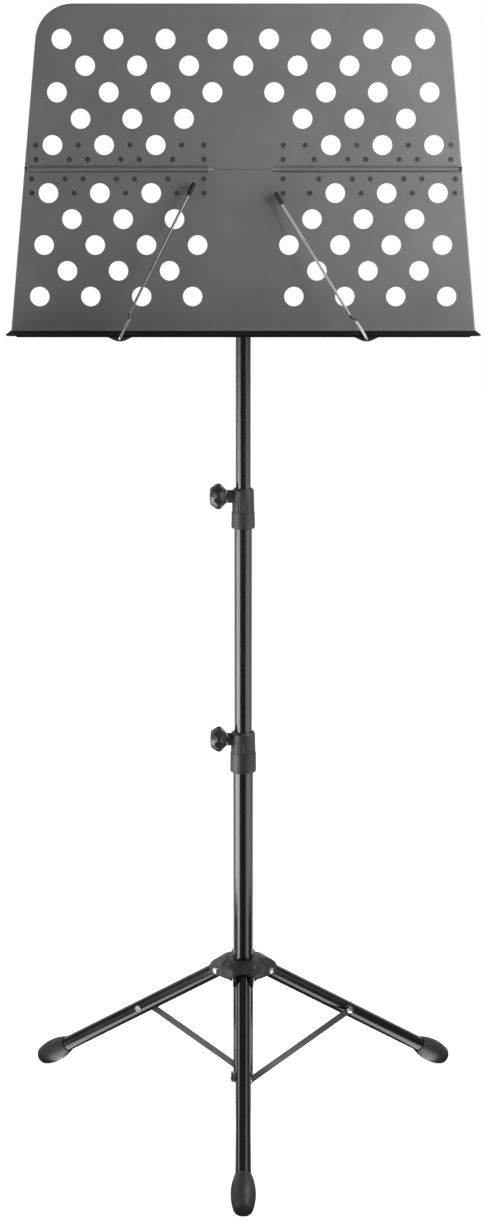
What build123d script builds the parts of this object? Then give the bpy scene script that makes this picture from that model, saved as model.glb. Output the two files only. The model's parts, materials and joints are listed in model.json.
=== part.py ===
from build123d import *
import math
import os

# Folding-desk music stand on a three-legged base. Millimetres, +Z up, floor at z = 0.
# Every piece is built about the mast axis (x = y = 0) with the reader at -Y, and the
# finished model is then moved along Y so that its footprint is centred on the origin.

# ---- clearances ----
running = 0.05          # radial clearance of a turning or sliding fit
seam_gap = 0.3          # gap between faces that move past each other
slot_play = 0.2         # side play of a leg in its lug

# ---- mast ----
sheet = 1.0             # sheet steel thickness
bottom_tube_r = 11.0
middle_tube_r = 9.5
top_tube_r = 8.0
tube_wall = 1.0
bottom_tube_z = 42.0    # lower end of the bottom tube
bottom_tube_top = 413.0
middle_tube_length = 402.0
middle_tube_top = 677.6
top_tube_length = 450.0
top_tube_top = 921.0
bush_flange = 10.0      # guide length of the bushes on the tubes' lower ends
bush_spigot = 12.0      # part of a bush pressed into its tube
bush_bore_r = 5.5
plug_flange = 1.6
plug_flange_r = 8.0
plug_spigot = 3.0

# ---- collars at the telescopic joints ----
lower_collar_smooth = 21.3  # plain lower part, over the outer tube
lower_collar_fluted = 23.7  # fluted upper part, over the inner tube
upper_collar_smooth = 17.3
upper_collar_fluted = 25.8
collar_wall_smooth = 3.2
collar_wall_fluted = 4.0
collar_top_chamfer = 2.2
collar_draft = 0.6      # the collars narrow towards the top
flute_count = 16
flute_r = 1.5
flute_depth = 0.6
boss_r = 7.0
boss_drop = 9.0         # clamp screw below the collar's top
boss_reach = 17.2       # from the mast axis to the boss's end
insert_r = 4.5          # brass insert in a boss
insert_length = 5.0

# ---- clamp knobs ----
knob_r = 13.7
knob_length = 17.8
knob_neck_r = 6.6
knob_face_r = 9.4
knob_lobes = 7
lobe_cut_r = 5.0
knob_cap_r = 6.6
knob_cap_thick = 1.4
stud_r = 3.0

# ---- tripod hub ----
hub_sleeve_r = 15.5
hub_z = 153.5           # underside of the hub, legs spread
hub_height = 24.2
hub_pivot_r = 29.1      # from the mast axis to the leg pivots
hub_pivot_z = 160.7
lug_half_width = 11.2
lug_reach = 7.3         # lug end beyond the pivot
lug_end_rise = 8.0      # top of the lug's end above the pivot
lug_end_drop = 5.2      # underside of the lug's end below the pivot
hub_waist_r = 24.5      # round body between the lugs
hub_shoulder = 9.5      # height of that body's widest part
roof_reach = 4.4        # how far a lug's roof covers the leg beyond the pivot
rivet_r = 3.0
rivet_head_r = 3.6
rivet_head = 1.4
hub_knob_z = 168.0
hub_boss_reach = 27.5

# ---- legs ----
leg_r = 8.25
leg_wall = 1.2
foot_circle_r = 266.6   # from the mast axis to where the feet stand
foot_axis_z = 9.5       # height of the leg axis there
leg_overrun = 5.0       # tube end beyond the hub pivot
foot_length = 43.5
foot_back = 35.0        # foot sleeve ahead of the standing point
foot_r = 13.0
foot_neck_r = 9.4
foot_tip_r = 10.6
foot_belly = 20.0       # from the sleeve's end to the widest place
foot_tip_round = 5.5    # length of the rounded tip
foot_tip_flat_r = 6.0
foot_cover = 30.0       # how far the foot's socket reaches over the leg

# ---- braces and lower spider ----
brace_on_leg = 123.3    # from hub pivot to brace pivot, along the leg
brace_thick = 1.5
brace_clearance = 0.15  # between a brace and the bottom tube beside it
brace_width = 7.4
brace_eye_r = 5.0
brace_rivet_r = 2.4
brace_head_r = 3.9
spider_pivot_z = 35.7   # brace pivots, beside the mast axis
spider_r = 9.0
spider_z = 28.6
spider_rim = 1.2        # rim on which the bottom tube stands
spider_spigot = 8.0
spider_bore_r = 5.5
spider_boss_r = 4.6

# ---- tilt head ----
pivot_z = 935.0         # tilt axis, crossing the mast axis
head_socket_r = 13.0
head_z = 882.0
head_socket_top = 924.0
head_eye_r = 12.0
head_half_width = 16.8
washer_thick = 1.0
washer_r = 10.5
tilt_bolt_r = 4.0
bolt_head_r = 9.0
bolt_head = 4.0
bolt_end = 36.0
head_knob_z = 900.0

# ---- desk ----
desk_front = 46.0       # reading face ahead of the mast axis
ledge_z = 874.5         # top of the ledge
panel_height = 163.3    # each half of the desk
desk_bottom_half = 238.9
desk_top_half = 205.7
desk_corner_r = 38.5
rim_depth = 5.0         # the sheet's edges are turned back
edge_bend_r = 1.4
ledge_depth = 53.6
ledge_flare = 1.4
ledge_corner_r = 9.0
ledge_bend_r = 1.2
hem_depth = 10.0
hem_gap = 0.2

# ---- perforation ----
hole_r = 10.0
hole_pitch = 52.3
row_pitch = hole_pitch / 2
first_row = 24.0        # from the fold line to the nearest row
rows = 5
edge_margin = 26.5      # hole centre to the side edge

# ---- back plate and tilt bracket ----
plate_half = 30.0
plate_thick = 1.5
plate_bottom = 893.0
plate_top = 1100.0
plate_margin = 2.0
bracket_thick = 2.0
bracket_height = 70.0
bracket_eye_r = 11.0

# ---- desk hinges ----
hinge_inner = 36.0      # hinge ends, from the middle of the desk
hinge_outer_margin = 2.6
slot_half = 3.0         # panel edges stand back this far from the fold line
knuckle_r = 2.3
hinge_pin_r = 1.0
hinge_forward = 0.3     # pin axis ahead of the reading face
knuckles = 9
leaf_thick = 0.8
leaf_height = 29.0
leaf_start = 1.4
leaf_hole_margin = 2.4
web_thick = 0.9
hinge_rivet_r = 2.6
hinge_rivet_tail_r = 3.3
hinge_rivet_tail = 0.7
hinge_rivet_dish = 0.45
rivet_row_near = 9.8
rivet_row_far = 24.0
rivet_side = 17.0       # near rivets beside each hole

# ---- page holders ----
wire_r = 1.3
holder_x = 124.8
left_lean = 26.9        # degrees inwards from upright
right_lean = 31.9
crank_height = 23.0     # length of the wire ahead of the ledge
crank_depth = 27.0
crank_side = 2.5
holder_length = 169.0
cap_beyond = 2.0        # cap's end beyond the wire's end
wire_bend_r = 3.2
holder_tip_gap = 3.0    # tip cap clear of the reading face
cap_r = 2.6
cap_length = 14.0
block_half = 14.0
block_depth = 18.0
block_crest = 2.2       # wall of a block under the wire
block_edge = 1.4        # thickness of a block at its ends
wire_head_r = 2.1
wire_head = 1.4

# ---- derived places ----
fold_z = ledge_z + panel_height
desk_top = fold_z + panel_height
panel_back = desk_front - sheet
taper = (desk_bottom_half - desk_top_half) / (desk_top - ledge_z)
ledge_front = desk_front + ledge_depth
leg_slope = math.atan2(hub_pivot_z - foot_axis_z, foot_circle_r - hub_pivot_r)
leg_length = math.hypot(hub_pivot_z - foot_axis_z, foot_circle_r - hub_pivot_r)
brace_pivot_r = hub_pivot_r + brace_on_leg * math.cos(leg_slope)
brace_pivot_z = hub_pivot_z - brace_on_leg * math.sin(leg_slope)
brace_length = math.hypot(brace_pivot_r, brace_pivot_z - spider_pivot_z)
brace_near = bottom_tube_r + brace_clearance    # side of the brace that faces the mast
brace_far = brace_near + brace_thick
holder_z = ledge_z - 2 * sheet - hem_gap - seam_gap - wire_r
leg_azimuths = {"front": -90, "left": 150, "right": 30}

parts = {}


def rod(radius, z0, z1):
    """Upright round bar about the mast axis."""
    return Pos(0, 0, z0) * Cylinder(radius, z1 - z0, align=(Align.CENTER, Align.CENTER, Align.MIN))


def bar(start, end, radius):
    """Round bar between two points."""
    run = Vector(*end) - Vector(*start)
    plane = Plane(origin=start, z_dir=run)
    return plane * Cylinder(radius, run.length, align=(Align.CENTER, Align.CENTER, Align.MIN))


def tube(outer, inner, z0, z1):
    return rod(outer, z0, z1) - rod(inner, z0, z1)


def block(x0, x1, y0, y1, z0, z1):
    """Box given by its limits."""
    box = Box(x1 - x0, y1 - y0, z1 - z0)
    return Pos((x0 + x1) / 2, (y0 + y1) / 2, (z0 + z1) / 2) * box


def turned(points):
    """Solid of revolution about Z from (radius, z) points."""
    face = make_face(Plane.XZ * Polyline(*points, close=True))
    return revolve(face, Axis.Z)


def domed_rivet(start, end, radius, head_r, head):
    """Rivet from start to end with a low domed head beyond the end."""
    run = (Vector(*end) - Vector(*start)).normalized()
    shank = bar(start, end, radius)
    profile = [(0, 0), (head_r, 0), (head_r * 0.85, head * 0.6), (head_r * 0.45, head), (0, head)]
    return shank + Plane(origin=end, z_dir=run) * turned(profile)


def half_width(z):
    """Half of the desk's width at a height."""
    return desk_bottom_half - taper * (z - ledge_z)


# ---- mast tubes ----
def build_tubes():
    parts["bottom_tube"] = tube(
        bottom_tube_r, bottom_tube_r - tube_wall, bottom_tube_z, bottom_tube_top
    )
    middle_z = middle_tube_top - middle_tube_length
    parts["middle_tube"] = tube(
        middle_tube_r, middle_tube_r - tube_wall, middle_z, middle_tube_top
    )
    top_z = top_tube_top - top_tube_length
    parts["top_tube"] = tube(top_tube_r, top_tube_r - tube_wall, top_z, top_tube_top)
    parts["middle_tube_bush"] = tube_bush(
        bottom_tube_r - tube_wall - running, middle_tube_r - tube_wall, middle_z
    )
    parts["top_tube_bush"] = tube_bush(
        middle_tube_r - tube_wall - running, top_tube_r - tube_wall, top_z
    )


def tube_bush(guide_r, spigot_r, z):
    """Plastic bush under a tube's end, guided by the tube outside."""
    bush = rod(guide_r, z - bush_flange, z) + rod(spigot_r, z, z + bush_spigot)
    return bush - rod(bush_bore_r, z - bush_flange, z + bush_spigot)


# ---- clamp collars ----
def collar(outer_tube_r, inner_tube_r, low, joint_z, high):
    """Collar glued on the outer tube's end, clamping the inner tube above it."""
    smooth_r = outer_tube_r + collar_wall_smooth
    fluted_r = inner_tube_r + collar_wall_fluted
    body = turned([
        (0, low),
        (smooth_r - collar_top_chamfer / 2, low),
        (smooth_r, low + collar_top_chamfer / 2),
        (smooth_r - collar_draft / 2, joint_z),
        (fluted_r, joint_z),
        (fluted_r - collar_draft, high - collar_top_chamfer),
        (fluted_r - collar_draft - collar_top_chamfer * 0.7, high),
        (0, high),
    ])
    groove = rod(flute_r, joint_z, high)
    for place in PolarLocations(fluted_r + flute_r - flute_depth, flute_count):
        body -= place * groove
    knob_z = high - boss_drop
    body += bar((0, 0, knob_z), (-boss_reach, 0, knob_z), boss_r)
    body -= rod(outer_tube_r, low, joint_z)
    body -= rod(inner_tube_r + running, joint_z, high)
    insert_start = -boss_reach + insert_length
    body -= bar((0, 0, knob_z), (-boss_reach, 0, knob_z), stud_r + running * 2)
    body -= bar((insert_start, 0, knob_z), (-boss_reach, 0, knob_z), insert_r)
    insert = bar((insert_start, 0, knob_z), (-boss_reach, 0, knob_z), insert_r)
    insert -= bar((insert_start, 0, knob_z), (-boss_reach, 0, knob_z), stud_r + running)
    return body, insert, knob_z


# ---- clamp knob, built along +Z from the boss face ----
def knob_body():
    """Lobed knob without its stud or cap."""
    body = turned([
        (0, 0),
        (knob_neck_r, 0),
        (knob_neck_r + 1.2, 1.0),
        (knob_r, knob_length * 0.4),
        (knob_r, knob_length * 0.58),
        (knob_r - 2.6, knob_length * 0.83),
        (knob_face_r, knob_length - 0.8),
        (knob_face_r - 1.0, knob_length),
        (0, knob_length),
    ])
    scallop = rod(lobe_cut_r, knob_length * 0.2, knob_length)
    for place in PolarLocations(knob_r + lobe_cut_r * 0.62, knob_lobes):
        body -= place * scallop
    return body


def knob_pieces(stud_in):
    """Knob, its cap and its stud; stud_in is the stud's reach behind the knob."""
    cap_seat = knob_length - knob_cap_thick * 0.7
    stud_top = knob_length * 0.6
    body = knob_body() - rod(knob_cap_r, cap_seat, knob_length) - rod(stud_r, 0, stud_top)
    stud = rod(stud_r, -stud_in, stud_top)
    cap = turned([
        (0, cap_seat),
        (knob_cap_r, cap_seat),
        (knob_cap_r, knob_length),
        (knob_cap_r * 0.6, cap_seat + knob_cap_thick),
        (0, cap_seat + knob_cap_thick),
    ])
    return body, cap, stud


def place_knob(name, origin, direction, stud_in):
    """Put a clamp knob on a boss face, with its stud reaching back through the boss."""
    where = Plane(origin=origin, x_dir=(0, 0, 1), z_dir=direction)
    body, cap, stud = knob_pieces(stud_in)
    parts[name + "_knob"] = where * body
    parts[name + "_knob_cap"] = where * cap
    parts[name + "_stud"] = where * stud


def build_collars():
    for name, outer_r, inner_r, joint_z, smooth, fluted in (
        (
            "lower", bottom_tube_r, middle_tube_r, bottom_tube_top,
            lower_collar_smooth, lower_collar_fluted,
        ),
        (
            "upper", middle_tube_r, top_tube_r, middle_tube_top,
            upper_collar_smooth, upper_collar_fluted,
        ),
    ):
        body, insert, knob_z = collar(
            outer_r, inner_r, joint_z - smooth, joint_z, joint_z + fluted
        )
        parts[name + "_collar"] = body
        parts[name + "_collar_insert"] = insert
        face = boss_reach + seam_gap
        stud_in = face - inner_r - seam_gap
        place_knob(name + "_clamp", (-face, 0, knob_z), (-1, 0, 0), stud_in)


# ---- tripod hub ----
def lug_profile():
    """Outline of one lug in the plane of its leg, as (radius, z)."""
    end = hub_pivot_r + lug_reach
    low = hub_z
    high = hub_z + hub_height
    inner = hub_sleeve_r - 3
    under_z = hub_pivot_z - lug_end_drop
    top_z = hub_pivot_z + lug_end_rise
    outline = Polyline((inner, high - 0.5), (inner, low), (hub_sleeve_r + 1, low))
    under = ThreePointArc(
        (hub_sleeve_r + 1, low),
        (hub_pivot_r - 5, low + (under_z - low) * 0.75),
        (hub_pivot_r + 1, under_z),
    )
    under_end = Line((hub_pivot_r + 1, under_z), (end - 3, under_z))
    nose = ThreePointArc((end - 3, under_z), (end, hub_pivot_z + 1), (end - 0.8, top_z))
    crown = ThreePointArc(
        (end - 0.8, top_z),
        ((end + inner) / 2 + 2, top_z + (high - top_z) * 0.8),
        (inner, high - 0.5),
    )
    return make_face(Plane.XZ * (outline + under + under_end + nose + crown))


def hub_body():
    """Round body of the hub, swelling between the lugs."""
    high = hub_z + hub_height
    shoulder = hub_z + hub_shoulder
    side = Polyline(
        (0, high),
        (0, hub_z),
        (hub_sleeve_r + 1, hub_z),
        (hub_waist_r - 1, shoulder - 1.5),
    )
    dome = ThreePointArc(
        (hub_waist_r - 1, shoulder - 1.5),
        ((hub_waist_r + hub_sleeve_r) / 2 + 2.5, (shoulder + high) / 2 + 1.5),
        (hub_sleeve_r - 1, high),
    )
    top = Line((hub_sleeve_r - 1, high), (0, high))
    return revolve(make_face(Plane.XZ * (side + dome + top)), Axis.Z)


def leg_slot():
    """Space of a leg between spread and folded, in the plane of the leg."""
    play = leg_r + 0.4
    outer = hub_pivot_r + lug_reach + 5
    drop = (outer - hub_pivot_r) * math.tan(leg_slope)
    points = [
        (hub_pivot_r - play, hub_z - 5),
        (hub_pivot_r - play, hub_pivot_z),
        (hub_pivot_r, hub_pivot_z),
        (outer, hub_pivot_z - drop),
        (outer, hub_z - 5),
    ]
    half = leg_r + slot_play
    space = extrude(make_face(Plane.XZ * Polyline(*points, close=True)), half, both=True)
    # the leg's end turns inside a sphere, and its tube lies in a round channel
    space += Pos(hub_pivot_r, 0, hub_pivot_z) * Sphere(math.hypot(leg_overrun, leg_r) + 0.5) & block(
        0, outer, -half, half, hub_z - 5, hub_z + hub_height
    )
    space += bar((hub_pivot_r, 0, hub_pivot_z), (outer, 0, hub_pivot_z - drop), half)
    roof_end = hub_pivot_r + roof_reach
    space += block(roof_end, outer, -half, half, hub_pivot_z, hub_z + hub_height + 1)
    return space


def build_hub():
    hub = hub_body()
    lug = extrude(lug_profile(), lug_half_width, both=True)
    slot = leg_slot()
    pin_hole = bar(
        (hub_pivot_r, -lug_half_width, hub_pivot_z),
        (hub_pivot_r, lug_half_width, hub_pivot_z),
        rivet_r,
    )
    for azimuth in leg_azimuths.values():
        hub += Rot(0, 0, azimuth) * lug
    for azimuth in leg_azimuths.values():
        hub -= Rot(0, 0, azimuth) * (slot + pin_hole)
    hub += bar((0, 0, hub_knob_z), (0, hub_boss_reach, hub_knob_z), boss_r)
    hub -= rod(bottom_tube_r + running, hub_z, hub_z + hub_height)
    hub -= bar((0, 0, hub_knob_z), (0, hub_boss_reach, hub_knob_z), stud_r + running)
    parts["tripod_hub"] = hub
    rivet = domed_rivet(
        (hub_pivot_r, 0, hub_pivot_z),
        (hub_pivot_r, -lug_half_width, hub_pivot_z),
        rivet_r,
        rivet_head_r,
        rivet_head,
    )
    rivet += mirror(rivet, Plane.XZ)
    parts["hub_rivets"] = Compound(
        [Rot(0, 0, azimuth) * rivet for azimuth in leg_azimuths.values()]
    )
    face = hub_boss_reach + seam_gap
    place_knob("hub_clamp", (0, face, hub_knob_z), (0, 1, 0), face - bottom_tube_r - seam_gap)


# ---- legs, feet and braces, built pointing along +X ----
def foot_body():
    """Egg-shaped rubber foot along +Z, from its sleeve to its rounded tip."""
    tip_start = foot_length - foot_tip_round
    sleeve = Polyline((0, foot_length), (0, 0), (foot_neck_r, 0))
    flank = ThreePointArc((foot_neck_r, 0), (foot_r, foot_belly), (foot_tip_r, tip_start))
    tip = ThreePointArc(
        (foot_tip_r, tip_start),
        (foot_tip_r * 0.82, tip_start + foot_tip_round * 0.68),
        (foot_tip_flat_r, foot_length),
    )
    end = Line((foot_tip_flat_r, foot_length), (0, foot_length))
    return revolve(make_face(Plane.XZ * (sleeve + flank + tip + end)), Axis.Z)


def build_leg(name, azimuth):
    turn = Rot(0, 0, azimuth)
    axis = Plane(
        origin=(hub_pivot_r, 0, hub_pivot_z),
        x_dir=(0, 1, 0),
        z_dir=(math.cos(leg_slope), 0, -math.sin(leg_slope)),
    )
    foot_start = leg_length - foot_back
    tube_end = foot_start + foot_cover
    leg = axis * tube(leg_r, leg_r - leg_wall, -leg_overrun, tube_end)
    pivot = (hub_pivot_r, 0, hub_pivot_z)
    leg -= bar((pivot[0], -leg_r, pivot[2]), (pivot[0], leg_r, pivot[2]), rivet_r + running)
    knee = (brace_pivot_r, 0, brace_pivot_z)
    leg -= bar((knee[0], -leg_r, knee[2]), (knee[0], leg_r, knee[2]), brace_rivet_r)
    parts["leg_" + name] = turn * leg

    foot = axis * (Pos(0, 0, foot_start) * foot_body() - rod(leg_r, foot_start, tube_end))
    reach = foot_circle_r + foot_length
    foot -= block(hub_pivot_r, reach, -foot_r * 2, foot_r * 2, -foot_r * 3, 0)
    parts["foot_" + name] = turn * foot

    # The pivot is a shouldered rivet, parted between leg and brace at the shear face.
    inner = bar((knee[0], leg_r, knee[2]), (knee[0], -leg_r, knee[2]), brace_rivet_r)
    shoulder_end = brace_near - seam_gap
    inner += bar((knee[0], -leg_r, knee[2]), (knee[0], -shoulder_end, knee[2]), brace_head_r)
    inner += Plane(origin=(knee[0], leg_r, knee[2]), x_dir=(1, 0, 0), z_dir=(0, 1, 0)) * rod(
        brace_head_r, 0, rivet_head * 0.7
    )
    parts["leg_rivet_" + name] = turn * inner


def build_brace(name, azimuth):
    turn = Rot(0, 0, azimuth)
    low = (0, spider_pivot_z)
    high = (brace_pivot_r, brace_pivot_z)
    angle = math.degrees(math.atan2(high[1] - low[1], high[0] - low[0]))
    middle = ((low[0] + high[0]) / 2, (low[1] + high[1]) / 2)
    strip = Pos(*middle) * Rot(0, 0, angle) * Rectangle(brace_length, brace_width)
    strip += Pos(*low) * Circle(brace_eye_r) + Pos(*high) * Circle(brace_eye_r)
    strip -= Pos(*low) * Circle(brace_rivet_r + running)
    strip -= Pos(*high) * Circle(brace_rivet_r)
    parts["brace_" + name] = turn * extrude(Plane.XZ.offset(brace_near) * strip, brace_thick)
    parts["brace_rivet_" + name] = turn * domed_rivet(
        (high[0], -brace_near, high[1]),
        (high[0], -brace_far, high[1]),
        brace_rivet_r,
        brace_head_r,
        rivet_head,
    )


def build_spider():
    """Core in the bottom tube's end that carries the braces on three rivets."""
    rim_z = bottom_tube_z - spider_rim
    core = chamfer(rod(spider_r, spider_z, rim_z).edges().group_by(Axis.Z)[0], 0.8)
    core += rod(bottom_tube_r, rim_z, bottom_tube_z)
    core += rod(bottom_tube_r - tube_wall, bottom_tube_z, bottom_tube_z + spider_spigot)
    boss_end = brace_near - seam_gap
    boss = bar((0, 0, spider_pivot_z), (0, -boss_end, spider_pivot_z), spider_boss_r)
    rivet_start = spider_bore_r + seam_gap
    rivet = domed_rivet(
        (0, -rivet_start, spider_pivot_z),
        (0, -brace_far - running * 2, spider_pivot_z),
        brace_rivet_r,
        brace_head_r,
        rivet_head,
    )
    hole = bar((0, 0, spider_pivot_z), (0, -boss_end, spider_pivot_z), brace_rivet_r)
    rivets = []
    for azimuth in leg_azimuths.values():
        core += Rot(0, 0, azimuth) * boss
    for azimuth in leg_azimuths.values():
        core -= Rot(0, 0, azimuth) * hole
        rivets.append(Rot(0, 0, azimuth) * rivet)
    core -= rod(spider_bore_r, spider_z, bottom_tube_z + spider_spigot)
    parts["lower_spider"] = core
    parts["spider_rivets"] = Compound(rivets)
    flange = rod(plug_flange_r, spider_z - plug_flange, spider_z)
    flange = chamfer(flange.edges().group_by(Axis.Z)[0], plug_flange / 2)
    parts["bottom_tube_plug"] = flange + rod(spider_bore_r, spider_z, spider_z + plug_spigot)


# ---- tilt head on the top tube ----
def build_head():
    socket = rod(head_socket_r, head_z, head_socket_top)
    socket = chamfer(socket.edges().group_by(Axis.Z)[0], 1.2)
    eye = bar((-head_half_width, 0, pivot_z), (head_half_width, 0, pivot_z), head_eye_r)
    neck = Plane(origin=(0, 0, head_socket_top)) * RectangleRounded(
        head_half_width * 2, head_socket_r * 2 - 4, 4
    )
    base = Plane(origin=(0, 0, head_socket_top - 12)) * Circle(head_socket_r)
    head = socket + loft([base.face(), neck.face()])
    head += extrude(neck, pivot_z - head_socket_top)
    head += eye
    head += bar((0, 0, head_knob_z), (0, boss_reach, head_knob_z), boss_r)
    head -= rod(top_tube_r + running, head_z, top_tube_top)
    head -= bar((-head_half_width, 0, pivot_z), (head_half_width, 0, pivot_z), tilt_bolt_r + running)
    head -= bar((0, 0, head_knob_z), (0, boss_reach, head_knob_z), stud_r + running)
    parts["tilt_head"] = head
    washers = []
    for side in (-1, 1):
        near = side * head_half_width
        far = side * (head_half_width + washer_thick)
        ring = bar((near, 0, pivot_z), (far, 0, pivot_z), washer_r)
        washers.append(ring - bar((near, 0, pivot_z), (far, 0, pivot_z), tilt_bolt_r + running))
    parts["tilt_washers"] = Compound(washers)
    face = boss_reach + seam_gap
    place_knob("head_clamp", (0, face, head_knob_z), (0, 1, 0), face - top_tube_r - seam_gap)


# ---- perforation ----
def hole_centres(upper):
    """Hole centres of one half of the desk; each side follows its slanting edge."""
    centres = []
    for row in range(rows):
        away = first_row + row * row_pitch
        z = fold_z + away if upper else fold_z - away
        x = half_width(z) - edge_margin - (row % 2) * hole_pitch / 2
        behind = z - hole_r < plate_top
        blank = plate_half + hole_r + plate_margin if behind else 0
        while x > hole_pitch / 4 and x > blank:
            centres += [(x, z), (-x, z)]
            x -= hole_pitch
        if abs(x) <= hole_pitch / 4 and not behind:
            centres.append((0, z))
    return centres


def rivet_centres(upper):
    """Hinge rivets of one half: a near row beside the holes and a far row between them."""
    sign = 1 if upper else -1
    hole_z = fold_z + sign * first_row
    columns = sorted(x for x, z in hole_centres(upper) if abs(z - hole_z) < 1 and x > 0)
    near_z = fold_z + sign * rivet_row_near
    far_z = fold_z + sign * rivet_row_far
    inner = hinge_inner + hinge_rivet_tail_r + 1
    spots = []
    for x in columns:
        spots += [(x - rivet_side, near_z), (x + rivet_side, near_z)]
        spots.append((x - hole_pitch / 2, far_z))
    spots.append((columns[-1] + rivet_side, far_z))
    spots = [(x, z) for x, z in spots if x > inner + 2 * hinge_rivet_tail_r]
    spots += [(inner, near_z), (inner, far_z)]
    return spots + [(-x, z) for x, z in spots]


# ---- desk panels ----
def outline(z0, z1, inset, corner):
    """Tapered outline of a panel between two heights, on the XZ plane."""
    top = z1 - inset if corner else z1
    points = [
        (-half_width(z0) + inset, z0),
        (half_width(z0) - inset, z0),
        (half_width(top) - inset, top),
        (-half_width(top) + inset, top),
    ]
    face = make_face(Polyline(*points, close=True))
    if corner:
        face = fillet(face.vertices().group_by(Axis.Y)[-1], corner - inset)
    return face


def punch(upper):
    """Everything punched out of a panel: the holes, rivet holes and hinge slots."""
    cutter = Sketch() + [Pos(x, z) * Circle(hole_r) for x, z in hole_centres(upper)]
    cutter += [Pos(x, z) * Circle(hinge_rivet_r) for x, z in rivet_centres(upper)]
    for side in (-1, 1):
        middle = side * (hinge_inner + desk_bottom_half) / 2
        slot = Rectangle(desk_bottom_half - hinge_inner + 2 * seam_gap, slot_half * 2)
        cutter += Pos(middle, fold_z) * slot
    return extrude(Plane.XZ.offset(panel_back) * cutter, sheet * 2, both=True)


def panel(z0, z1, corner, rim_z0):
    """Sheet panel with its side edges turned back."""
    face = outline(z0, z1, 0, corner)
    plate = extrude(Plane.XZ.offset(panel_back) * face, sheet)
    rim_face = outline(rim_z0, z1, 0, corner) - outline(rim_z0, z1, sheet, corner)
    rim = extrude(Plane.XZ.offset(panel_back) * rim_face, sheet - rim_depth)
    shape = plate + rim
    front = shape.edges().group_by(Axis.Y)[0]
    outer = [e for e in front if e.center().Z > z0 + 1 and (corner or abs(e.center().X) > 1)]
    return fillet(outer, edge_bend_r)


def build_upper_panel():
    z0 = fold_z + seam_gap / 2
    parts["upper_panel"] = panel(z0, desk_top, desk_corner_r, z0 + slot_half) - punch(True)


def build_lower_panel():
    z1 = fold_z - seam_gap / 2
    shape = panel(ledge_z - sheet, z1, 0, ledge_z + rim_depth)
    rear = half_width(ledge_z - sheet)
    front = rear + ledge_flare
    points = [
        (-rear, -panel_back),
        (rear, -panel_back),
        (front, -ledge_front),
        (-front, -ledge_front),
    ]
    plan = make_face(Polyline(*points, close=True))
    plan = fillet(plan.vertices().group_by(Axis.Y)[0], ledge_corner_r)
    shape += extrude(Plane.XY.offset(ledge_z - sheet) * plan, sheet)
    long_edges = [e for e in shape.edges() if e.length > rear * 1.9]
    inner = [
        e
        for e in long_edges
        if abs(e.center().Y + desk_front) < 0.01 and abs(e.center().Z - ledge_z) < 0.01
    ]
    outer = [
        e
        for e in long_edges
        if abs(e.center().Y + panel_back) < 0.01 and abs(e.center().Z - ledge_z + sheet) < 0.01
    ]
    shape = fillet(inner, ledge_bend_r)
    # the front edge is folded under into a hem
    hem_half = front - ledge_corner_r * 1.3
    hem_z = ledge_z - 2 * sheet - hem_gap
    fold_r = (ledge_z - hem_z) / 2
    shape += block(
        -hem_half, hem_half, -ledge_front + fold_r, -ledge_front + hem_depth, hem_z, hem_z + sheet
    )
    fold = bar(
        (-hem_half, -ledge_front + fold_r, hem_z + fold_r),
        (hem_half, -ledge_front + fold_r, hem_z + fold_r),
        fold_r,
    )
    shape += fold - block(
        -hem_half, hem_half, -ledge_front + fold_r, -ledge_front + fold_r * 3, hem_z, ledge_z
    )
    for x, y in block_rivet_centres():
        shape -= bar((x, y, ledge_z), (x, y, ledge_z - sheet), brace_rivet_r)
    parts["lower_panel"] = shape - punch(False)


# ---- back plate and tilt bracket ----
def build_bracket():
    plate_face = Pos(0, (plate_bottom + plate_top) / 2) * RectangleRounded(
        plate_half * 2, plate_top - plate_bottom, 6
    )
    plate = extrude(Plane.XZ.offset(panel_back - plate_thick) * plate_face, plate_thick)
    parts["back_plate"] = plate
    back = panel_back - plate_thick
    inside = head_half_width + washer_thick + running
    outside = inside + bracket_thick
    z0 = pivot_z - bracket_height / 2
    z1 = pivot_z + bracket_height / 2
    base = block(-outside, outside, -back, -back + bracket_thick, z0, z1)
    side = make_face(Plane.YZ * Polyline(
        (-back, z0),
        (0, pivot_z - bracket_eye_r),
        (0, pivot_z + bracket_eye_r),
        (-back, z1),
        close=True,
    ))
    ear = extrude(side, bracket_thick) + bar((0, 0, pivot_z), (bracket_thick, 0, pivot_z), bracket_eye_r)
    bracket = base + Pos(inside, 0, 0) * ear + Pos(-outside, 0, 0) * ear
    bracket -= bar((-outside, 0, pivot_z), (outside, 0, pivot_z), tilt_bolt_r)
    parts["tilt_bracket"] = bracket
    bolt = bar((-outside, 0, pivot_z), (bolt_end, 0, pivot_z), tilt_bolt_r)
    dome = turned([
        (0, 0),
        (bolt_head_r, 0),
        (bolt_head_r * 0.85, bolt_head * 0.6),
        (bolt_head_r * 0.45, bolt_head),
        (0, bolt_head),
    ])
    parts["tilt_bolt"] = bolt + Plane(origin=(-outside, 0, pivot_z), z_dir=(-1, 0, 0)) * dome
    knob = knob_body()
    knob -= rod(tilt_bolt_r + running, -1, bolt_end - outside)
    where = Plane(origin=(outside + seam_gap, 0, pivot_z), x_dir=(0, 0, 1), z_dir=(1, 0, 0))
    parts["tilt_knob"] = where * knob


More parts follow.
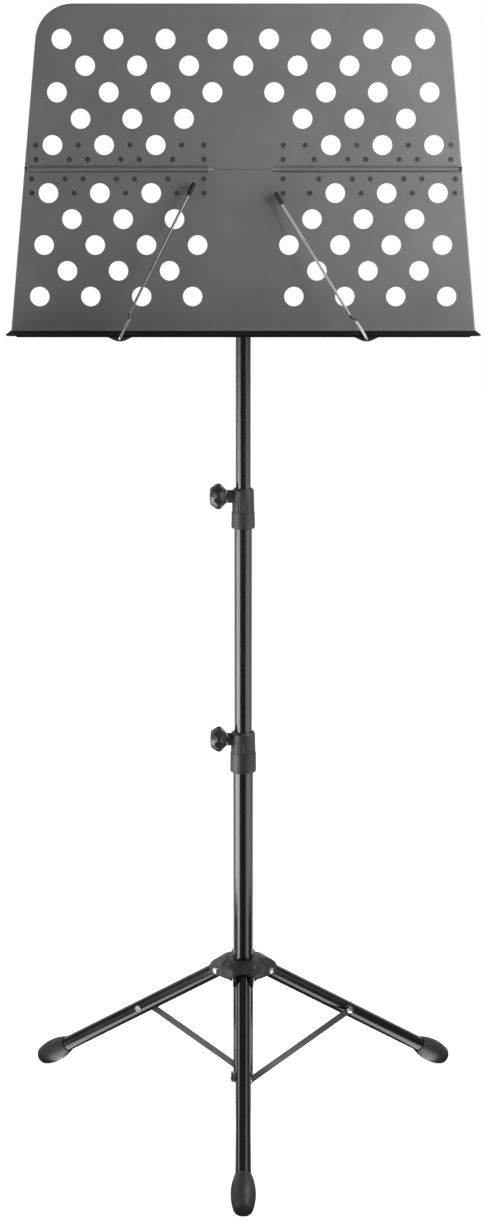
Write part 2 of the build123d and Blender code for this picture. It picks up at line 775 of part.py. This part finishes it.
# ---- hinges between the desk's halves ----
def leaf(upper):
    """One hinge leaf on the right side, cut out round the holes, with its knuckles."""
    sign = 1 if upper else -1
    outer = half_width(fold_z) - hinge_outer_margin - sheet
    near = fold_z + sign * leaf_start
    far = fold_z + sign * leaf_height
    face = Pos((hinge_inner + outer) / 2, (near + far) / 2) * Rectangle(
        outer - hinge_inner, leaf_height - leaf_start
    )
    face &= outline(min(near, far), max(near, far), sheet + seam_gap, 0)
    for x, z in hole_centres(upper):
        face -= Pos(x, z) * Circle(hole_r + leaf_hole_margin)
    for x, z in rivet_centres(upper):
        face -= Pos(x, z) * Circle(hinge_rivet_r)
    shape = extrude(Plane.XZ.offset(panel_back - leaf_thick) * face, leaf_thick)
    axis_y = -desk_front - hinge_forward
    pitch = (outer - hinge_inner) / knuckles
    for n in range(knuckles):
        if (n % 2 == 1) != upper:
            continue
        x0 = hinge_inner + n * pitch + seam_gap / 2
        x1 = x0 + pitch - seam_gap
        barrel = bar((x0, axis_y, fold_z), (x1, axis_y, fold_z), knuckle_r)
        top = fold_z + sign * knuckle_r
        root = fold_z + sign * (knuckle_r - web_thick)
        web = block(x0, x1, axis_y, -panel_back + leaf_thick, min(top, root), max(top, root))
        shape += barrel + web
        shape -= bar((x0, axis_y, fold_z), (x1, axis_y, fold_z), hinge_pin_r + running)
    # the leaf ends close behind the other leaf's knuckles, so no light shows between them
    notch = math.sqrt(knuckle_r**2 - (sheet + hinge_forward) ** 2) + seam_gap
    clear = fold_z + sign * notch
    for n in range(knuckles):
        if (n % 2 == 1) != upper:
            x0 = hinge_inner + n * pitch - seam_gap / 2
            x1 = x0 + pitch + seam_gap
            low, high = min(fold_z, clear), max(fold_z, clear)
            shape -= block(x0, x1, -panel_back - 1, -panel_back + leaf_thick, low, high)
    return shape


def build_hinges():
    outer = half_width(fold_z) - hinge_outer_margin - sheet
    axis_y = -desk_front - hinge_forward
    for name, upper in (("lower", False), ("upper", True)):
        right = leaf(upper)
        parts[name + "_hinge_leaves"] = Compound([right, mirror(right, Plane.YZ)])
        start = desk_front - hinge_rivet_dish
        end = panel_back - leaf_thick
        rivets = []
        for x, z in rivet_centres(upper):
            shank = bar((x, -start, z), (x, -end, z), hinge_rivet_r)
            tail = bar((x, -end, z), (x, -end + hinge_rivet_tail, z), hinge_rivet_tail_r)
            rivets.append(shank + tail)
        parts[name + "_hinge_rivets"] = Compound(rivets)
    pin = bar((hinge_inner, axis_y, fold_z), (outer, axis_y, fold_z), hinge_pin_r)
    parts["hinge_pins"] = Compound([pin, mirror(pin, Plane.YZ)])


# ---- page holders ----
def block_rivet_centres():
    """Rivets of the two pivot blocks under the ledge."""
    y = -ledge_front + hem_depth + seam_gap + block_depth / 2
    spread = block_half * 0.68
    return [(side * holder_x + s * spread, y) for side in (-1, 1) for s in (-1, 1)]


def build_pivot_blocks():
    """Bell-shaped blocks under the ledge that carry the page holders."""
    under = ledge_z - sheet
    y0 = -ledge_front + hem_depth + seam_gap
    half = block_half
    crest = holder_z - wire_r - block_crest
    edge = under - block_edge
    flank = (edge + crest) / 2 - block_crest * 0.3
    left = Spline((-half, edge), (-half * 0.5, flank), (0, crest), tangents=[(1, -0.35), (1, 0)])
    right = Spline((0, crest), (half * 0.5, flank), (half, edge), tangents=[(1, 0), (1, 0.35)])
    top = Polyline((half, edge), (half, under), (-half, under), (-half, edge))
    bell = extrude(Plane.XZ.offset(-y0 - block_depth) * make_face(left + right + top), block_depth)
    blocks = []
    for side in (-1, 1):
        shape = Pos(side * holder_x, 0, 0) * bell
        shape -= bar(
            (side * holder_x, y0, holder_z),
            (side * holder_x, y0 + block_depth, holder_z),
            wire_r + running,
        )
        for x, y in block_rivet_centres():
            shape -= bar((x, y, under), (x, y, crest - 1), brace_rivet_r)
        blocks.append(shape)
    parts["pivot_blocks"] = Compound(blocks)
    rivets = []
    for x, y in block_rivet_centres():
        rivets.append(bar((x, y, ledge_z), (x, y, under - 1.4), brace_rivet_r))
    parts["pivot_block_rivets"] = Compound(rivets)


def build_holder(name, side, lean):
    """Bent wire page holder with a soft cap on its tip."""
    block_back = -ledge_front + hem_depth + seam_gap + block_depth
    front = -ledge_front - seam_gap * 2 - wire_r
    tip_y = -desk_front - holder_tip_gap - cap_r
    path = FilletPolyline(
        (0, block_back + seam_gap + wire_head, 0),
        (0, front, 0),
        (0, front, crank_height),
        (-crank_side, front + crank_depth, crank_height + 2),
        (-crank_side, tip_y, holder_length),
        radius=wire_bend_r,
    )
    start = Plane(origin=path @ 0, z_dir=path % 0)
    wire = sweep(start * Circle(wire_r), path=path)
    wire += bar(
        (0, block_back + seam_gap, 0), (0, block_back + seam_gap + wire_head, 0), wire_head_r
    )
    tip = Vector(-crank_side, tip_y, holder_length)
    heel = Vector(-crank_side, front + crank_depth, crank_height + 2)
    run = (tip - heel).normalized()
    where = Plane(origin=tip - run * (cap_length - cap_beyond), z_dir=run)
    cap = rod(cap_r, 0, cap_length)
    cap = fillet(cap.edges(), cap_r * 0.7)
    cap -= rod(wire_r, 0, cap_length - cap_beyond)
    seat = Pos(side * holder_x, 0, holder_z) * Rot(0, -side * lean, 0)
    parts[name + "_page_holder"] = seat * wire
    parts[name + "_holder_cap"] = seat * (where * cap)


# ---- build and export ----
def main():
    build_tubes()
    build_collars()
    build_hub()
    for name, azimuth in leg_azimuths.items():
        build_leg(name, azimuth)
        build_brace(name, azimuth)
    build_spider()
    build_head()
    build_upper_panel()
    build_lower_panel()
    build_bracket()
    build_hinges()
    build_pivot_blocks()
    build_holder("left", -1, left_lean)
    build_holder("right", 1, right_lean)

    box = Compound(list(parts.values())).bounding_box()
    centre = Pos(0, -(box.min.Y + box.max.Y) / 2, 0)
    os.makedirs("parts", exist_ok=True)
    for node, shape in parts.items():
        export_step(centre * shape, f"parts/{node}.step")
    print("pieces", len(parts), "mast axis at y =", round(centre.position.Y, 3))


main()
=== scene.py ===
import json
import math

import bpy
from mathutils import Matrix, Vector


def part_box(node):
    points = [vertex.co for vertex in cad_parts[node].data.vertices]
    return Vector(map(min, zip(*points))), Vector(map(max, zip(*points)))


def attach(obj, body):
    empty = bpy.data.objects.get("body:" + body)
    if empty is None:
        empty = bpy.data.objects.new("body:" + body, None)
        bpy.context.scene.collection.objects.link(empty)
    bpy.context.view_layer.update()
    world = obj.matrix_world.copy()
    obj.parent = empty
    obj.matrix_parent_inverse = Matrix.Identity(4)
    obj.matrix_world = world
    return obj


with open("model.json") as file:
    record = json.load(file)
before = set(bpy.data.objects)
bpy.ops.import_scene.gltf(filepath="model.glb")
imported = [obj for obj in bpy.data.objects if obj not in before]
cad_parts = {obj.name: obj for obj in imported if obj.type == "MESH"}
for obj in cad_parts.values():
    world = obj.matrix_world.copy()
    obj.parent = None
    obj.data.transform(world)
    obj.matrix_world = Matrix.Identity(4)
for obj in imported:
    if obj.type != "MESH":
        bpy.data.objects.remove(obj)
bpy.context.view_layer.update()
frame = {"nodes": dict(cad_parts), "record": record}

NODES = frame["nodes"]
SIDES = (("left", -1.0), ("right", 1.0))


# ---- places taken from the frame ----
def centre(node):
    low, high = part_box(node)
    return (low + high) / 2


mast = centre("bottom_tube")


# ---- camera ----
CAMERA_ACROSS = -0.0013    # from the mast, towards the right
CAMERA_AHEAD = 2.5216      # from the mast, towards the reader
CAMERA_HEIGHT = 1.09695
CAMERA_PITCH = 11.843      # degrees below level
SENSOR_HEIGHT = 36.0       # mm
FOCAL_LENGTH = 70.47       # mm
VIEW_DEPTH = 50.0


def make_camera():
    """Portrait view from a little above the middle of the stand, pitched down."""
    data = bpy.data.cameras.new("camera")
    data.sensor_fit = "VERTICAL"
    data.sensor_height = SENSOR_HEIGHT
    data.lens = FOCAL_LENGTH
    data.clip_end = VIEW_DEPTH
    camera = bpy.data.objects.new("camera", data)
    camera.location = (mast.x + CAMERA_ACROSS, mast.y - CAMERA_AHEAD, CAMERA_HEIGHT)
    camera.rotation_euler = (math.radians(90.0 - CAMERA_PITCH), 0.0, 0.0)
    bpy.context.scene.collection.objects.link(camera)
    bpy.context.scene.camera = camera


# ---- materials ----
NOISE_LOW, NOISE_HIGH = 0.3, 0.7    # most values of a noise texture lie between these
USUAL_SHINE = 0.5                   # specular level of common paint and plastic

# Sockets of a Mix node that mixes colours.
MIX_SHARE, MIX_FIRST, MIX_SECOND, MIX_RESULT = 0, 6, 7, 2


class Surface:
    """A Principled material whose nodes are added one at a time."""

    def __init__(self, name, colour, roughness, metallic=0.0, shine=USUAL_SHINE):
        self.material = bpy.data.materials.new(name)
        self.material.use_nodes = True
        self.tree = self.material.node_tree
        self.shader = self.tree.nodes["Principled BSDF"]
        self.shader.inputs["Base Color"].default_value = (*colour, 1.0)
        self.shader.inputs["Roughness"].default_value = roughness
        self.shader.inputs["Metallic"].default_value = metallic
        self.shader.inputs["Specular IOR Level"].default_value = shine
        self.colour = colour
        self.roughness = roughness
        self.normal = None
        self.place = self.node("ShaderNodeTexCoord").outputs["Object"]

    def node(self, kind, **values):
        """A new node, with values for its settings or for its sockets."""
        made = self.tree.nodes.new(kind)
        for key, value in values.items():
            if hasattr(made, key):
                setattr(made, key, value)
            else:
                made.inputs[key.replace("_", " ").title()].default_value = value
        return made

    def link(self, source, target):
        self.tree.links.new(source, target)

    def noise(self, scale, detail=2.0):
        texture = self.node("ShaderNodeTexNoise", scale=scale, detail=detail)
        self.link(self.place, texture.inputs["Vector"])
        return texture.outputs["Fac"]

    def specks(self, scale, size):
        """1 inside sparse round spots, 0 elsewhere."""
        texture = self.node("ShaderNodeTexVoronoi", scale=scale)
        self.link(self.place, texture.inputs["Vector"])
        solid_part = 0.6
        return self.ranged(texture.outputs["Distance"], 1.0, 0.0, size * solid_part, size)

    def along(self, axis, start, end):
        """0 before start and 1 past end, measured along one object axis."""
        parts = self.node("ShaderNodeSeparateXYZ")
        self.link(self.place, parts.inputs["Vector"])
        return self.ranged(parts.outputs[axis], 0.0, 1.0, start, end)

    def ranged(self, value, low, high, start=NOISE_LOW, end=NOISE_HIGH):
        """The value rescaled to run from low at start to high at end."""
        step = self.node("ShaderNodeMapRange")
        step.inputs["From Min"].default_value = start
        step.inputs["From Max"].default_value = end
        step.inputs["To Min"].default_value = low
        step.inputs["To Max"].default_value = high
        self.link(value, step.inputs["Value"])
        return step.outputs["Result"]

    def tint(self, value, colour, amount=1.0):
        """Mix another colour into the base colour where value is high."""
        mix = self.node("ShaderNodeMix", data_type="RGBA")
        base = self.shader.inputs["Base Color"]
        if base.links:
            self.link(base.links[0].from_socket, mix.inputs[MIX_FIRST])
        else:
            mix.inputs[MIX_FIRST].default_value = base.default_value[:]
        mix.inputs[MIX_SECOND].default_value = (*colour, 1.0)
        self.link(self.ranged(value, 0.0, amount, 0.0, 1.0), mix.inputs[MIX_SHARE])
        self.link(mix.outputs[MIX_RESULT], base)

    def mottle(self, scale, amount):
        """Slow lighter and darker patches of the base colour."""
        least = 0.002
        paler = tuple(min(1.0, c * (1.0 + amount) + least) for c in self.colour)
        self.tint(self.ranged(self.noise(scale, detail=3.0), 0.0, 1.0), paler)

    def vary_roughness(self, scale, amount):
        """Slow smoother and rougher patches."""
        smoothest = 0.02
        low = max(smoothest, self.roughness - amount)
        self.roughen(self.ranged(self.noise(scale), low, self.roughness + amount))

    def roughen(self, value):
        self.link(value, self.shader.inputs["Roughness"])

    def bump(self, value, height):
        """Add surface relief; height is in metres."""
        node = self.node("ShaderNodeBump", strength=1.0, distance=height)
        self.link(value, node.inputs["Height"])
        if self.normal:
            self.link(self.normal, node.inputs["Normal"])
        self.normal = node.outputs["Normal"]
        self.link(self.normal, self.shader.inputs["Normal"])


def tube_paint():
    """Gloss black powder coat with a faint orange peel."""
    s = Surface("tube_paint", colour=(0.006, 0.006, 0.0065), roughness=0.2)
    s.mottle(scale=9.0, amount=0.3)
    s.vary_roughness(scale=35.0, amount=0.04)
    s.bump(s.noise(scale=260.0, detail=1.0), height=0.00003)
    return s.material


def desk_paint():
    """Satin charcoal powder coat with fine grain, with painted shade on the ledge: blacker, rougher
    and less shiny there.
    """
    satin, ledge_roughness = 0.55, 1.0
    ledge_shine = 0.08
    s = Surface("desk_paint", colour=(0.07, 0.07, 0.071), roughness=satin)
    s.mottle(scale=16.0, amount=0.45)
    s.mottle(scale=50.0, amount=0.2)
    s.tint(s.specks(scale=900.0, size=0.12), colour=(0.12, 0.12, 0.12), amount=0.5)

    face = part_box("upper_panel")[0].y
    panel_end, ledge_start = face - 0.0035, face - 0.0045
    # Painted shade: the ledge is tinted near black, made rougher and given less shine so that it
    # reads as lying in shadow.
    ledge_shade = s.along("Y", panel_end, ledge_start)
    s.tint(ledge_shade, colour=(0.003, 0.003, 0.003))
    s.roughen(s.ranged(ledge_shade, satin, ledge_roughness, 0.0, 1.0))
    shine = s.ranged(ledge_shade, USUAL_SHINE, ledge_shine, 0.0, 1.0)
    s.link(shine, s.shader.inputs["Specular IOR Level"])
    s.bump(s.noise(scale=1500.0), height=0.00003)
    return s.material


def bracket_paint():
    """Semi-gloss black paint of the fittings and hinges."""
    s = Surface("bracket_paint", colour=(0.02, 0.02, 0.021), roughness=0.42)
    s.mottle(scale=20.0, amount=0.2)
    s.vary_roughness(scale=70.0, amount=0.06)
    s.bump(s.noise(scale=900.0), height=0.00003)
    return s.material


def moulded(name, colour, roughness, shine=USUAL_SHINE):
    """Moulded plastic: spark-eroded grain and faint flow marks."""
    s = Surface(name, colour, roughness, shine=shine)
    s.mottle(scale=45.0, amount=0.2)
    s.vary_roughness(scale=120.0, amount=0.07)
    s.bump(s.noise(scale=2200.0, detail=3.0), height=0.00006)
    s.bump(s.noise(scale=60.0, detail=1.0), height=0.00005)
    return s.material


def bright_metal(name, colour, roughness):
    """Plated or bare metal with a fine grain."""
    s = Surface(name, colour, roughness, metallic=1.0)
    s.mottle(scale=120.0, amount=0.08)
    s.vary_roughness(scale=300.0, amount=0.06)
    s.bump(s.noise(scale=1800.0), height=0.00001)
    return s.material


def rubber(name, colour, roughness, shine=USUAL_SHINE):
    """Matt rubber with worn patches."""
    s = Surface(name, colour, roughness, shine=shine)
    s.mottle(scale=70.0, amount=0.35)
    s.vary_roughness(scale=90.0, amount=0.08)
    s.bump(s.noise(scale=1200.0, detail=3.0), height=0.00008)
    return s.material


def dress_frame():
    """Give every visible CAD node the finish of its material slot."""
    finishes = {
        "tube_paint": tube_paint(),
        "desk_paint": desk_paint(),
        "bracket_paint": bracket_paint(),
        "collar_plastic": moulded("collar_plastic", (0.0145, 0.0145, 0.015), 0.48, shine=0.34),
        "knob_plastic": moulded("knob_plastic", (0.012, 0.012, 0.0125), 0.36),
        "knob_cap_plastic": moulded("knob_cap_plastic", (0.07, 0.07, 0.071), 0.5),
        "nylon": moulded("nylon", (0.04, 0.04, 0.04), 0.4),
        "brass": bright_metal("brass", (0.72, 0.55, 0.28), 0.3),
        "zinc": bright_metal("zinc", (0.6, 0.6, 0.62), 0.32),
        "rivet_steel": bright_metal("rivet_steel", (0.5, 0.5, 0.51), 0.26),
        "panel_rivet_paint": bracket_paint(),
        "wire_steel": bright_metal("wire_steel", (0.165, 0.165, 0.168), 0.38),
        "cap_rubber": rubber("cap_rubber", (0.003, 0.003, 0.003), 0.6, shine=0.2),
        "foot_rubber": rubber("foot_rubber", (0.016, 0.016, 0.016), 0.55),
    }
    slots = {s["node"]: s["material_slot"] for s in frame["record"]["subparts"]}
    hinge_details(finishes["bracket_paint"])
    for name, node in NODES.items():
        node.data.materials.clear()
        node.data.materials.append(finishes[slots[name]])
        smooth(node)


def smooth(piece):
    """Shade curved faces smooth and keep real edges crisp."""
    crisp_angle = 28.0
    mesh = piece.data
    mesh.polygons.foreach_set("use_smooth", [True] * len(mesh.polygons))
    mesh.set_sharp_from_angle(angle=math.radians(crisp_angle))
    mesh.update()


# ---- small pieces of the hinge ----
KNUCKLES = 9
BARREL_START = 0.036          # from the middle of the desk to the first knuckle
WASHER_THICKNESS = 0.00027    # nine tenths of the gap between knuckles
WASHER_RADIUS = 0.0022
HEAD_RADIUS = 0.0029
HEAD_LENGTH = 0.0032
HEAD_CLEARANCE = 0.0001


def disc(name, start, end, radius, finish):
    """Turned disc or rod end on the hinge axis, with a small chamfer."""
    low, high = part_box("hinge_pins")
    y, z = (low.y + high.y) / 2, (low.z + high.z) / 2
    chamfer = min(0.0003, abs(end - start) * 0.2)
    near, far = min(start, end), max(start, end)
    rings = [(near, radius - chamfer), (near + chamfer, radius)]
    rings += [(far - chamfer, radius), (far, radius - chamfer)]
    sides = 40
    points, faces = [], []
    for x, r in rings:
        for i in range(sides):
            turn = math.tau * i / sides
            points.append((x, y + r * math.cos(turn), z + r * math.sin(turn)))
    last = (len(rings) - 1) * sides
    for row in range(0, last, sides):
        for i in range(sides):
            j = (i + 1) % sides
            faces.append((row + i, row + j, row + sides + j, row + sides + i))
    faces.append(tuple(reversed(range(sides))))
    faces.append(tuple(range(last, last + sides)))
    mesh = bpy.data.meshes.new(name)
    mesh.from_pydata(points, [], faces)
    piece = bpy.data.objects.new(name, mesh)
    bpy.context.scene.collection.objects.link(piece)
    mesh.materials.append(finish)
    smooth(piece)
    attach(piece, "lower_desk")


def hinge_details(finish):
    """Washers between the knuckles, and the headed outer end of each pin."""
    barrel_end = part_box("upper_hinge_leaves")[1].x
    pitch = (barrel_end - BARREL_START) / KNUCKLES
    half = WASHER_THICKNESS / 2
    first_start, first_end = BARREL_START - 0.0002, BARREL_START - 0.00001
    head_start = barrel_end + HEAD_CLEARANCE
    for side, sign in SIDES:
        name = f"hinge_washer_{side}_1"
        disc(name, sign * first_start, sign * first_end, HEAD_RADIUS, finish)
        for n in range(1, KNUCKLES):
            x = BARREL_START + n * pitch
            name = f"hinge_washer_{side}_{n + 1}"
            disc(name, sign * (x - half), sign * (x + half), WASHER_RADIUS, finish)
        head_end = sign * (head_start + HEAD_LENGTH)
        disc(f"hinge_pin_head_{side}", sign * head_start, head_end, HEAD_RADIUS, finish)


# ---- floor and world ----
FLOOR_SIZE = 14.0
FLOOR_COLOUR = 0.85
FLOOR_GLOW = 0.88          # what the camera and reflections see on top of the lit floor
AMBIENT = 0.2
WHITE = (1.0, 1.0, 1.0, 1.0)


def make_floor():
    """Pale floor that renders white and keeps the stand's shadow."""
    bpy.ops.mesh.primitive_plane_add(size=FLOOR_SIZE, location=(0.0, 0.0, 0.0))
    floor = bpy.context.object
    floor.name = "floor"
    material = bpy.data.materials.new("floor")
    material.use_nodes = True
    tree = material.node_tree
    tree.nodes.clear()
    out = tree.nodes.new("ShaderNodeOutputMaterial")
    pale = tree.nodes.new("ShaderNodeBsdfDiffuse")
    pale.inputs["Color"].default_value = (FLOOR_COLOUR, FLOOR_COLOUR, FLOOR_COLOUR, 1.0)
    glow = tree.nodes.new("ShaderNodeEmission")
    glow.inputs["Strength"].default_value = FLOOR_GLOW
    blend = tree.nodes.new("ShaderNodeAddShader")
    tree.links.new(pale.outputs["BSDF"], blend.inputs[0])
    tree.links.new(glow.outputs["Emission"], blend.inputs[1])
    choose_seen(tree, pale.outputs["BSDF"], blend.outputs["Shader"], out)
    floor.data.materials.append(material)


def make_world():
    """Weak ambient light, shown as plain white behind the stand."""
    world = bpy.data.worlds.new("studio")
    bpy.context.scene.world = world
    world.use_nodes = True
    tree = world.node_tree
    tree.nodes.clear()
    out = tree.nodes.new("ShaderNodeOutputWorld")
    ambient, white = (tree.nodes.new("ShaderNodeBackground") for _ in range(2))
    for background, strength in ((ambient, AMBIENT), (white, 1.0)):
        background.inputs["Color"].default_value = WHITE
        background.inputs["Strength"].default_value = strength
    choose_seen(tree, ambient.outputs["Background"], white.outputs["Background"], out)


def choose_seen(tree, lighting, seen, out):
    """Send one shader to rays that light the stand and the other to rays that see it."""
    choose = tree.nodes.new("ShaderNodeMixShader")
    tree.links.new(seen_background(tree), choose.inputs["Fac"])
    tree.links.new(lighting, choose.inputs[1])
    tree.links.new(seen, choose.inputs[2])
    tree.links.new(choose.outputs["Shader"], out.inputs["Surface"])


def seen_background(tree):
    """1 for camera, glossy and transmission rays."""
    rays = tree.nodes.new("ShaderNodeLightPath")
    either = tree.nodes.new("ShaderNodeMath")
    either.operation = "MAXIMUM"
    tree.links.new(rays.outputs["Is Camera Ray"], either.inputs[0])
    tree.links.new(rays.outputs["Is Glossy Ray"], either.inputs[1])
    every = tree.nodes.new("ShaderNodeMath")
    every.operation = "MAXIMUM"
    tree.links.new(either.outputs["Value"], every.inputs[0])
    tree.links.new(rays.outputs["Is Transmission Ray"], every.inputs[1])
    return every.outputs["Value"]


# ---- lamps ----
def softbox(name, azimuth, spread, distance, low, high, radiance):
    """Area light facing the mast; azimuth 0 is at the reader, 90 on the right."""
    width = 2.0 * distance * math.tan(math.radians(spread / 2.0))
    tall = high - low
    data = bpy.data.lights.new(name, "AREA")
    data.shape = "RECTANGLE"
    data.size = width
    data.size_y = tall
    data.energy = radiance * width * tall * math.pi
    lamp = bpy.data.objects.new(name, data)
    turn = math.radians(azimuth)
    place = Vector((math.sin(turn), -math.cos(turn), 0.0)) * distance
    lamp.location = place + Vector((mast.x, mast.y, (low + high) / 2.0))
    lamp.rotation_euler = (math.radians(90.0), 0.0, turn)
    lamp.visible_camera = False
    bpy.context.scene.collection.objects.link(lamp)


def make_lights():
    """Soft light from both sides, brighter on the right as on the desk, and from behind."""
    softbox("left", azimuth=-58.0, spread=36.0, distance=2.2, low=0.9, high=1.9, radiance=3.0)
    softbox("right", azimuth=60.0, spread=40.0, distance=0.9, low=0.86, high=1.6, radiance=13.0)
    softbox("rear_left", azimuth=-112.0, spread=24.0, distance=2.0, low=1.1, high=1.75, radiance=5.0)
    softbox("rear_right", azimuth=104.0, spread=24.0, distance=1.6, low=1.5, high=2.2, radiance=3.0)


# ---- cards that only reflections see ----
DARK = 0.12
NEAR_FLOOR = 0.4           # radius from the mast where the side sectors start
FAR_FLOOR = 6.4
ROOM_SIDE = 2.4            # walls, from the mast
ROOM_FRONT = -2.7
ROOM_BACK = 2.0
ROOM_TOP = 3.2
SIDE_WALL_FOOT = 0.6       # the side walls hang, so that the floor shows below them


def card(name, corners, strength):
    """Card of one grey, seen only in reflections."""
    mesh = bpy.data.meshes.new(name)
    mesh.from_pydata(corners, [], [tuple(range(len(corners)))])
    piece = bpy.data.objects.new(name, mesh)
    bpy.context.scene.collection.objects.link(piece)
    material = bpy.data.materials.new(name)
    material.use_nodes = True
    tree = material.node_tree
    tree.nodes.clear()
    out = tree.nodes.new("ShaderNodeOutputMaterial")
    glow = tree.nodes.new("ShaderNodeEmission")
    glow.inputs["Strength"].default_value = strength
    tree.links.new(glow.outputs["Emission"], out.inputs["Surface"])
    mesh.materials.append(material)
    piece.visible_camera = False
    piece.visible_diffuse = False
    piece.visible_shadow = False


def floor_card(name, start, end, near, far, strength):
    """Sector of the floor between two azimuths and two distances from the mast."""
    steps, height = 12, 0.001
    turns = [math.radians(start + (end - start) * i / steps) for i in range(steps + 1)]
    arcs = [(far, t) for t in turns] + [(near, t) for t in reversed(turns)]
    corners = [(mast.x + r * math.sin(t), mast.y - r * math.cos(t), height) for r, t in arcs]
    card(name, corners, strength)


def wall_card(name, start, end, low, high, strength):
    """Upright card between two points of the floor plan, given from the mast."""
    places = [(start, low), (end, low), (end, high), (start, high)]
    card(name, [(mast.x + p[0], mast.y + p[1], z) for p, z in places], strength)


def leg_cards(side, sign):
    """Bright strip for the line along a side leg's underside, and a low dark card beyond it."""
    height = 0.002
    strip = [(0.181, -0.110), (0.071, -0.029), (0.212, 0.125), (0.245, 0.105)]
    corners = [(mast.x + sign * x, mast.y + y, height) for x, y in strip]
    card(f"under_{side}_leg", corners, strength=4.6)
    start, end = (sign * 0.315, -0.155), (sign * 0.37, 0.16)
    wall_card(f"flag_{side}", start, end, low=0.0, high=0.14, strength=DARK)


def make_cards():
    """The studio as black gloss sees it: dark all round, with a bright strip each side."""
    floor_card("dark_floor", -41.0, 31.0, NEAR_FLOOR, -ROOM_FRONT, DARK)
    floor_card("dark_disc", -180.0, 180.0, 0.001, NEAR_FLOOR, DARK)
    for side, sign in SIDES:
        leg_cards(side, sign)
    floor_card("left_floor", -97.0, -43.0, NEAR_FLOOR, FAR_FLOOR, strength=9.5)
    floor_card("right_floor", 33.0, 89.0, NEAR_FLOOR, FAR_FLOOR, strength=3.0)

    front_left, front_right = (-ROOM_SIDE, ROOM_FRONT), (ROOM_SIDE, ROOM_FRONT)
    back_left, back_right = (-ROOM_SIDE, ROOM_BACK), (ROOM_SIDE, ROOM_BACK)
    wall_card("dark_front", front_left, front_right, 0.0, ROOM_TOP, DARK)
    wall_card("dark_left", front_left, back_left, SIDE_WALL_FOOT, ROOM_TOP, DARK)
    wall_card("dark_right", front_right, back_right, SIDE_WALL_FOOT, ROOM_TOP, DARK)
    plan = (front_left, front_right, back_right, back_left)
    card("dark_ceiling", [(mast.x + x, mast.y + y, ROOM_TOP) for x, y in plan], DARK)


bpy.context.scene.view_settings.view_transform = "Standard"
make_camera()
dress_frame()
make_floor()
make_world()
make_lights()
make_cards()
